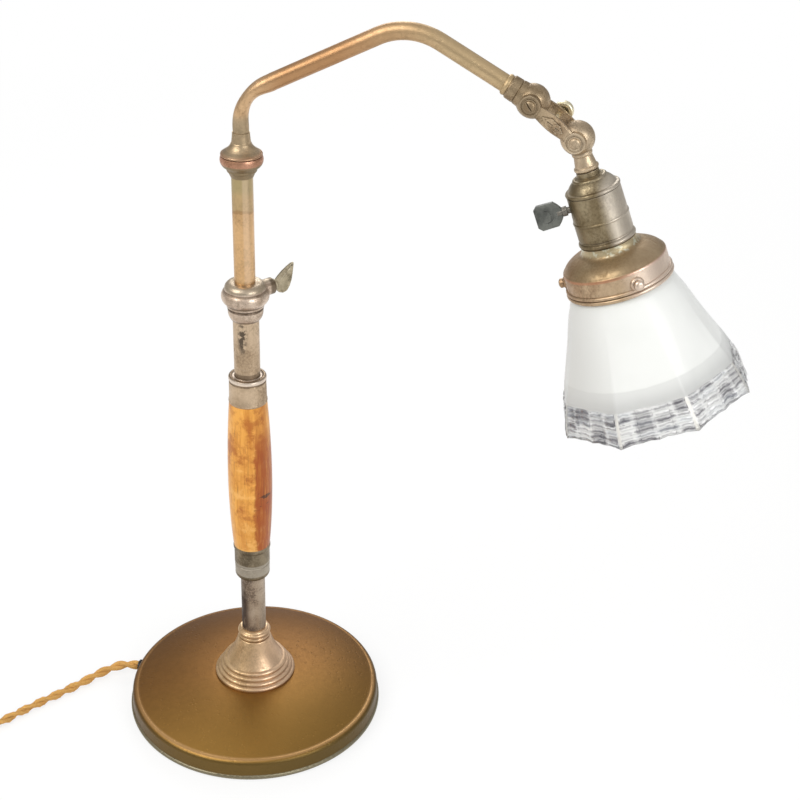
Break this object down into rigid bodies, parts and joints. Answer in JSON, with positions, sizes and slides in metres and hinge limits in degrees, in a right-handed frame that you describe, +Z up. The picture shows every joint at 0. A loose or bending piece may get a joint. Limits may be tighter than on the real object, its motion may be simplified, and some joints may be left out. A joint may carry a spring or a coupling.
{
  "type": "swing arm desk lamp",
  "caption": "Adjustable desk lamp with a telescoping stem, wooden grip, bent swivelling arm, double knuckle link, key switch socket and pressed glass bell shade.",
  "frame": {"origin": "middle of the felt under the foot, at the table", "axes": "+Z up along the stem, +X toward the lamp head, hinge axes of the two knuckles along Y"},
  "size_m": [0.5693, 0.2468, 0.4907],
  "materials": {
    "felt": "matt",
    "bronze": "satin olive bronze, aged",
    "cast_iron": "as cast",
    "steel_hardware": "plain",
    "foot_brass": "turned, softly polished",
    "tarnished_nickel": "tarnished and pitted",
    "ferrule_metal": "dull grey",
    "amber_wood": "worn varnish",
    "worn_nickel": "worn plating",
    "collar_nickel": "worn plating with pinkish brass",
    "tube_brass": "satin",
    "copper_bronze": "satin copper tone",
    "arm_bronze": "satin",
    "knuckle_brass": "cast, worn",
    "bail_brass": "polished by touch",
    "socket_bronze": "aged",
    "holder_bronze": "aged with copper tint",
    "key_bakelite": "dull dark grey",
    "porcelain": "glazed",
    "fibre": "pressed paper",
    "shade_glass": "acid-frosted with a clear cut rim",
    "bulb_glass": "clear",
    "bulb_metal": "plain",
    "cord_cloth": "twisted cotton braid",
    "plug_black": "bakelite",
    "blade_brass": "plain"
  },
  "bodies": {
    "base": {"felt_pad": "felt", "base_cover": "bronze", "base_weight": "cast_iron", "tie_washer": "steel_hardware", "tie_nut": "steel_hardware", "tie_pipe": "steel_hardware", "cord_bushing": "plug_black", "pedestal": "foot_brass", "lower_stem_tube": "tarnished_nickel", "lower_ferrule": "ferrule_metal", "grip": "amber_wood", "upper_ferrule": "worn_nickel", "outer_tube": "worn_nickel", "clamp_collar": "collar_nickel", "cord_lead": "cord_cloth", "cord_coil": "cord_cloth", "cord_tail": "cord_cloth", "plug_body": "plug_black", "plug_blades": "blade_brass"},
    "clamp_screw": {"clamp_thumbscrew": "collar_nickel"},
    "mast": {"inner_tube": "tube_brass", "guide_bush": "tube_brass", "swivel_cup": "copper_bronze", "swivel_nipple": "tube_brass", "swivel_nut": "steel_hardware"},
    "arm": {"arm_collar": "arm_bronze", "arm_tube": "arm_bronze", "arm_ferrule": "arm_bronze", "arm_knuckle": "knuckle_brass"},
    "link": {"link_plate_front": "knuckle_brass", "link_plate_rear": "knuckle_brass", "arm_pivot_screw": "knuckle_brass", "head_pivot_pin": "knuckle_brass"},
    "link_screw": {"bail_screw": "bail_brass"},
    "head": {"head_knuckle": "knuckle_brass", "socket_cap": "socket_bronze", "socket_shell": "socket_bronze", "socket_liner": "fibre", "socket_block": "porcelain", "screw_shell": "bulb_metal", "centre_contact": "bulb_metal", "shade_holder": "holder_bronze", "shade": "shade_glass", "bulb_base": "bulb_metal", "bulb_globe": "bulb_glass"},
    "switch_key": {"key_shaft": "steel_hardware", "key_paddle": "key_bakelite"},
    "shade_screw_a": {"shade_screw_1": "holder_bronze"},
    "shade_screw_b": {"shade_screw_2": "holder_bronze"},
    "shade_screw_c": {"shade_screw_3": "holder_bronze"}
  },
  "joints": [
    {"name": "clamp_screw_turn", "type": "hinge", "parent": "base", "child": "clamp_screw", "pos_m": [0, 0, 0.3145], "axis": [0.5736, 0.8192, 0], "continuous": true},
    {"name": "mast_slide", "type": "slide", "parent": "base", "child": "mast", "axis": [0, 0, 1], "range_m": [-0.066, 0.084]},
    {"name": "arm_swivel", "type": "hinge", "parent": "mast", "child": "arm", "pos_m": [0, 0, 0.4038], "axis": [0, 0, 1], "range_deg": [-175, 175]},
    {"name": "link_tilt", "type": "hinge", "parent": "arm", "child": "link", "pos_m": [0.1683, 0, 0.4543], "axis": [0, -1, 0], "range_deg": [-20, 90]},
    {"name": "link_screw_turn", "type": "hinge", "parent": "link", "child": "link_screw", "pos_m": [0.18125, 0, 0.44535], "axis": [0, 1, 0], "continuous": true},
    {"name": "head_tilt", "type": "hinge", "parent": "link", "child": "head", "pos_m": [0.1942, 0, 0.4364], "axis": [0, -1, 0], "range_deg": [-40, 120]},
    {"name": "key_turn", "type": "hinge", "parent": "head", "child": "switch_key", "pos_m": [0.20782, 0, 0.40092], "axis": [-0.9194, -0.1736, -0.3529], "continuous": true},
    {"name": "shade_screw_a_turn", "type": "hinge", "parent": "head", "child": "shade_screw_a", "pos_m": [0.22308, 0, 0.36115], "axis": [0.4668, -0.866, 0.1792], "continuous": true},
    {"name": "shade_screw_b_turn", "type": "hinge", "parent": "head", "child": "shade_screw_b", "pos_m": [0.22308, 0, 0.36115], "axis": [-0.9336, 0, -0.3584], "continuous": true},
    {"name": "shade_screw_c_turn", "type": "hinge", "parent": "head", "child": "shade_screw_c", "pos_m": [0.22308, 0, 0.36115], "axis": [0.4668, 0.866, 0.1792], "continuous": true}
  ]
}
